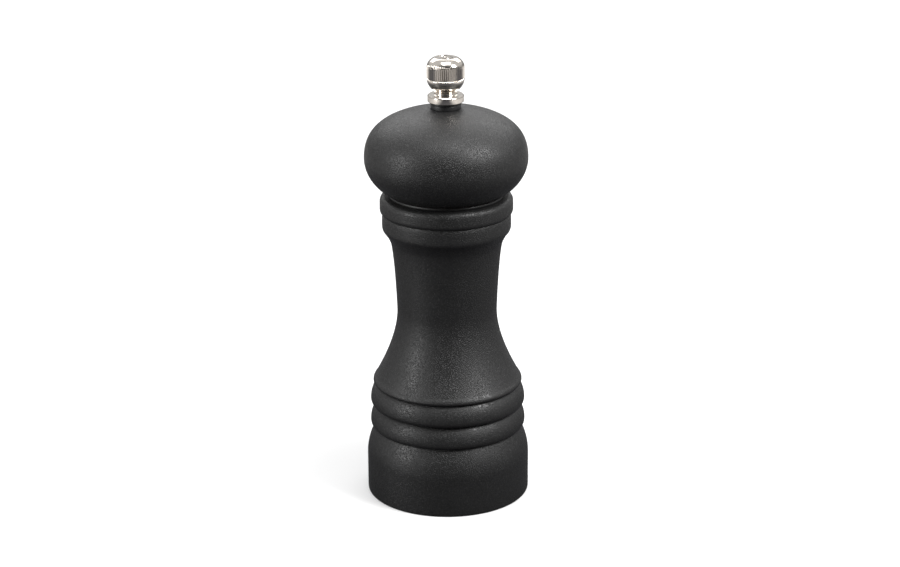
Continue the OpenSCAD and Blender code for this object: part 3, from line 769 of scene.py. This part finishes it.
def make_spring():
    """Round wire coiled to the frame's height, its ends closed up and ground flat."""
    low, high = low_z("spring"), high_z("spring")
    wire = 1.0
    coil_r = radius("spring") - wire / 2
    turns, closed = 6.0, 0.85
    sides, per_turn = 14, 44
    start, rise = low + wire * 0.42, high - low - wire * 0.84
    end_pitch = wire * 1.02

    def height(t):
        if t < closed:
            return end_pitch * t
        if t > turns - closed:
            return rise - end_pitch * (turns - t)
        return end_pitch * closed + (rise - 2 * end_pitch * closed) * (t - closed) / (turns - 2 * closed)

    bm = bmesh.new()
    rings = []
    for i in range(int(turns * per_turn) + 1):
        t = i / per_turn
        angle = TURN * t
        ring = []
        for k in range(sides):
            around = TURN * k / sides
            r = coil_r + wire / 2 * math.cos(around)
            z = start + height(t) + wire / 2 * math.sin(around)
            z = min(max(z, low), high)
            ring.append(bm.verts.new((r * math.cos(angle) * MM, r * math.sin(angle) * MM, z * MM)))
        rings.append(ring)
    for a, b in zip(rings, rings[1:]):
        for k in range(sides):
            n = (k + 1) % sides
            bm.faces.new((a[k], a[n], b[n], b[k]))
    bm.faces.new(rings[0][::-1])
    bm.faces.new(rings[-1])
    piece = finish_piece("rotor_spring", bm, "spring_pack", ["spring"], [SPRING_STEEL],
                         sharp=50)
    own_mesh(piece)
    return piece


# ---------------------------------------------------------------- burrs

BURR_MOUTH_R = 13.0      # bore of the fixed burr at its lower face
BURR_THROAT_R = 11.2     # bore of the fixed burr above its cone
BURR_CONE_H = 5.5
BURR_SLOPE = (BURR_MOUTH_R - BURR_THROAT_R) / BURR_CONE_H


def toothed(r, depth, teeth, lean, z, way=1):
    """Radius of a burr wall cut by leaning teeth, steep on one side."""
    def at(angle):
        step = (angle * teeth / TURN + lean * z) % 1.0
        cut_in = step / 0.75 if step < 0.75 else (1 - step) / 0.25
        return r - way * depth * (1 - cut_in)
    return at


def make_rotor():
    low, high = low_z("rotor"), high_z("rotor")
    base_r = radius("rotor")
    cone_top = low + BURR_CONE_H
    waist_r = base_r - BURR_SLOPE * BURR_CONE_H
    top_r = 6.6
    hole = square(SQUARE_HOLE)
    stations = [(hole, low), (toothed(base_r - 0.6, 0.4, 30, 0.12, low), low),
                (toothed(base_r - 0.2, 0.55, 30, 0.12, low + 0.25), low + 0.25)]
    rows = 14
    for i in range(1, rows + 1):
        z = low + 0.3 + (cone_top - low - 0.3) * i / rows
        r = base_r - BURR_SLOPE * (z - low) - 0.02
        depth = 0.6 + 0.3 * i / rows
        stations.append((toothed(r, depth, 30, 0.12, z), z))
    rows = 30
    for i in range(1, rows + 1):
        z = cone_top + (high - 0.6 - cone_top) * i / rows
        share = i / rows
        r = waist_r + (top_r + 0.35 - waist_r) * share
        depth = min(0.9 + 2.0 * min(1.0, share * 4), r - 5.0)
        stations.append((toothed(r, depth, 6, 0.05, z), z))
    stations += [(toothed(top_r, top_r - 5.3, 6, 0.05, high), high), (hole, high)]
    return finish_piece("rotor_burr", turned(stations, steps=ROUND * 2), "spindle", ["rotor"],
                        [BURR_STEEL], sharp=30)


def make_stator():
    low, high = low_z("stator"), high_z("stator")
    outer = STATOR_R
    stations = [(outer - 0.3, low), (outer, low + 0.3), (outer, high - 0.3), (outer - 0.3, high),
                (toothed(BURR_THROAT_R + 1.5, 0.7, 12, -0.06, high, way=-1), high)]
    rows = 12
    for i in range(1, rows + 1):
        z = high - (high - low - BURR_CONE_H) * i / rows
        r = BURR_THROAT_R + max(0.0, 1.4 * (z - (high - 3)) / 3)
        stations.append((toothed(r, 0.9, 12, -0.06, z, way=-1), z))
    rows = 12
    for i in range(1, rows + 1):
        z = low + BURR_CONE_H - (BURR_CONE_H - 0.02) * i / rows
        r = BURR_MOUTH_R - BURR_SLOPE * (z - low)
        stations.append((toothed(r, 0.65, 36, -0.12, z, way=-1), z))
    return finish_piece("stator_burr", turned(stations, steps=ROUND * 2), "casing", ["stator"],
                        [BURR_STEEL], sharp=30)


# ---------------------------------------------------------------- plates and fasteners

BAR_SCREW_HEAD_R = 3.1
PLATE_SCREW_HEAD_R = 2.4


def make_crossbar():
    low, high = low_z("crossbar"), high_z("crossbar")
    end_r, half = radius("crossbar"), 4.5
    boss = 6.6
    reach = math.asin(half / end_r)
    boss_start = math.asin(half / boss)
    steps = 10
    outline = [(end_r * math.cos(a), end_r * math.sin(a))
               for a in (reach * (2 * i / steps - 1) for i in range(steps + 1))]
    over = [(boss * math.cos(a), boss * math.sin(a))
            for a in (boss_start + (math.pi - 2 * boss_start) * i / 28 for i in range(29))]
    outline += over + [(-x, -y) for x, y in outline] + [(-x, -y) for x, y in over]
    bush_hole_r, screw_hole_r = 3.98, 1.85
    holes = [circle(bush_hole_r, 64)]
    holes += [circle(screw_hole_r, 40, at=(side * bar_screw_at(), 0)) for side in (-1, 1)]
    piece = finish_piece("bottom_crossbar", flat_plate(outline, holes, low, high), "casing",
                         ["crossbar"], [PLATE_STEEL])
    return eased_edges(piece, 0.22, segments=3)


def bar_screw_at():
    """Distance of the crossbar's screws from the axis."""
    return radius("crossbar_screws") - BAR_SCREW_HEAD_R


def make_clip():
    """Spring clip with a mouth on one side and three inner lugs."""
    low, high = low_z("rotor_clip"), high_z("rotor_clip")
    outer, inner = 4.45, 2.95
    mouth = 0.5
    points = [(outer * math.cos(a), outer * math.sin(a))
              for a in (mouth + (TURN - 2 * mouth) * i / 48 for i in range(49))]
    back = []
    for i in range(61):
        a = TURN - mouth * 1.15 - (TURN - 2.3 * mouth) * i / 60
        lug = any(abs((a - at + math.pi) % TURN - math.pi) < 0.33
                  for at in (math.pi, math.pi * 0.42, math.pi * 1.58))
        r = 2.47 if lug else inner + 0.35
        back.append((r * math.cos(a), r * math.sin(a)))
    piece = finish_piece("rotor_spring_clip", flat_plate(points + back, [], low, high), "spindle",
                         ["rotor_clip"], [SPRING_STEEL])
    return eased_edges(piece, 0.08)


def make_screws(name, node, body, at, shank, head, material):
    """Two cross-recessed wood screws that point up, as one piece."""
    low, high = low_z(node), high_z(node)
    head_h = 1.9
    seat = low + head_h
    dome = curve((head * 0.45, low), (head * 0.8, low), (head, low + head_h * 0.45), (head, seat - 0.25), 8)
    thread = threaded(shank * 0.68, shank, 1.3 * shank / 1.7)
    bm = bmesh.new()
    for side in (-1, 1):
        stations = [(0, low), (head * 0.45, low)] + dome
        stations += [(head - 0.12, seat), (shank, seat), (shank, seat + 1.0)]
        z = seat + 1.1
        while z < high - shank * 1.1:
            stations.append((thread(z), z))
            z += 0.13
        stations += [(shank * 0.62, high - shank * 1.05), (0, high)]
        turned(stations, steps=48, closed=False, bm=bm, at=(side * at, 0))
    piece = finish_piece(name, bm, body, [node], [material], sharp=35)
    slot_w, reach, deep = head * 0.2, head * 0.62, head_h * 0.6
    for side in (-1, 1):
        for turn in (0.35 * side, 0.35 * side + math.pi / 2):
            cutter = bmesh.new()
            bmesh.ops.create_cube(cutter, size=1.0)
            for v in cutter.verts:
                taper = 0.45 if v.co.z > 0 else 1.0
                v.co = Vector((v.co.x * 2 * reach * taper, v.co.y * slot_w * (0.6 if v.co.z > 0 else 1.0),
                               v.co.z * 2 * deep)) * MM
            place = Matrix.Translation((side * at * MM, 0, low * MM)) @ Matrix.Rotation(turn, 4, "Z")
            bmesh.ops.transform(cutter, matrix=place, verts=cutter.verts)
            mesh = bpy.data.meshes.new("recess")
            cutter.to_mesh(mesh)
            cutter.free()
            tool = bpy.data.objects.new("recess", mesh)
            bpy.context.scene.collection.objects.link(tool)
            cut(piece, tool)
    for polygon in piece.data.polygons:
        polygon.use_smooth = True
    piece.data.set_sharp_from_angle(angle=math.radians(35))
    return piece


make_body()
make_head()
make_knob()
make_turned_fittings()
make_shaft()
make_spring()
make_rotor()
make_stator()
make_crossbar()
make_clip()
make_screws("crossbar_wood_screws", "crossbar_screws", "casing", bar_screw_at(), 1.7, BAR_SCREW_HEAD_R,
            SCREW_STEEL)
make_screws("drive_plate_wood_screws", "drive_plate_screws", "turning_head",
            radius("drive_plate_screws") - PLATE_SCREW_HEAD_R, 1.3, PLATE_SCREW_HEAD_R, SCREW_STEEL)

# The bridge is shown by its own CAD solid.
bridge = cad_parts["guide_bridge"].data
bridge.materials.clear()
bridge.materials.append(PLATE_STEEL)


# ---------------------------------------------------------------- studio

def make_floor():
    """Pale floor with a faint even glow for the camera; bounced and mirrored rays find it dark round the
    mill, a painted shade on the mill's undersides, and pale further out.
    """
    material, n, shader = new_material("pale_floor", (0.88, 0.88, 0.88), 0.0, 0.7)
    shader.inputs["Specular IOR Level"].default_value = 0.2
    way = n.add("ShaderNodeSeparateXYZ")
    n.link(n.add("ShaderNodeTexCoord").outputs["Object"], way.inputs[0])
    aside = n.ramp(n.maths("ABSOLUTE", way.outputs["X"]), 0.18, 0.50)
    behind = n.ramp(way.outputs["Y"], 0.2, 0.6)
    far = n.maths("MAXIMUM", aside, behind)
    # Painted shade: only bounced and mirrored rays see this colour, dark round the mill so the mill's lower
    # faces darken.
    painted_bounce_shade = n.mix_colour(far, (0.05, 0.05, 0.055, 1), (0.40, 0.395, 0.39, 1))
    path = n.add("ShaderNodeLightPath")
    n.link(n.mix_colour(path.outputs["Is Camera Ray"], painted_bounce_shade, (0.62, 0.62, 0.62, 1)),
           shader.inputs["Base Color"])
    n.link(n.mix_colour(path.outputs["Is Camera Ray"], (0, 0, 0, 1), (0.9, 0.9, 0.9, 1)),
           shader.inputs["Emission Color"])
    shader.inputs["Emission Strength"].default_value = 0.25
    bm = bmesh.new()
    corners = [bm.verts.new((x, y, 0)) for x, y in ((-3, -2.5), (3, -2.5), (3, 3.5), (-3, 3.5))]
    bm.faces.new(corners)
    mesh = bpy.data.meshes.new("floor")
    bm.to_mesh(mesh)
    bm.free()
    mesh.materials.append(material)
    floor = bpy.data.objects.new("floor", mesh)
    bpy.context.scene.collection.objects.link(floor)


def softbox(name, place, target, size, power):
    """A rectangular lamp at a place, turned to face a target."""
    light = bpy.data.lights.new(name, "AREA")
    light.shape = "RECTANGLE"
    light.size, light.size_y = size
    light.energy = power
    box = bpy.data.objects.new(name, light)
    box.location = place
    box.rotation_euler = (Vector(target) - Vector(place)).to_track_quat("-Z", "Y").to_euler()
    bpy.context.scene.collection.objects.link(box)


def make_camera():
    distance, height = 0.8014, 0.3585
    down, yaw, roll = math.radians(19.16), 0.0014, -0.006
    forward = Vector((math.sin(yaw) * math.cos(down), math.cos(yaw) * math.cos(down), -math.sin(down)))
    right = Vector((math.cos(yaw), -math.sin(yaw), 0))
    up = right.cross(forward)
    across = right * math.cos(roll) + up * math.sin(roll)
    upward = up * math.cos(roll) - right * math.sin(roll)
    camera = bpy.data.cameras.new("camera")
    camera.sensor_width = 36
    camera.lens = 92.65
    camera.clip_start = 0.01
    holder = bpy.data.objects.new("camera", camera)
    turn = Matrix((across, upward, -forward)).transposed()
    holder.matrix_world = Matrix.Translation((0, -distance, height)) @ turn.to_4x4()
    bpy.context.scene.collection.objects.link(holder)
    bpy.context.scene.camera = holder


def make_world():
    """White for the camera; for everything else a studio that is dark in front and pale behind."""
    world = bpy.data.worlds.new("studio")
    bpy.context.scene.world = world
    world.use_nodes = True
    n = Nodes(world.node_tree)
    sky = n.tree.nodes["Background"]
    way = n.add("ShaderNodeSeparateXYZ")
    n.link(n.add("ShaderNodeTexCoord").outputs["Generated"], way.inputs[0])
    around = n.ramp(way.outputs["Y"], -0.95, -0.1, 0.03, 0.6)
    above = n.ramp(way.outputs["Z"], -0.1, 0.3, 0.1, 1.0)
    grey = n.maths("MULTIPLY", around, above)
    shade = n.add("ShaderNodeCombineColor")
    for channel in ("Red", "Green", "Blue"):
        n.link(grey, shade.inputs[channel])
    path = n.add("ShaderNodeLightPath")
    n.link(n.mix_colour(path.outputs["Is Camera Ray"], shade.outputs[0], (1, 1, 1, 1)), sky.inputs["Color"])
    sky.inputs["Strength"].default_value = 1.0


def make_studio():
    make_floor()
    make_camera()
    make_world()
    middle = (0, 0, 0.09)
    softbox("left_softbox", (-0.86, -0.40, 0.34), middle, (0.3, 0.6), 5.4)
    softbox("right_softbox", (0.66, -0.38, 0.72), middle, (0.3, 0.4), 10.0)
    softbox("top_softbox", (0.05, -0.22, 1.15), middle, (0.7, 0.5), 6.2)
    softbox("back_softbox", (0.0, 1.0, 0.9), (0, 0.6, 0), (2.0, 0.8), 12.0)
    bpy.context.scene.view_settings.view_transform = "Standard"


make_studio()
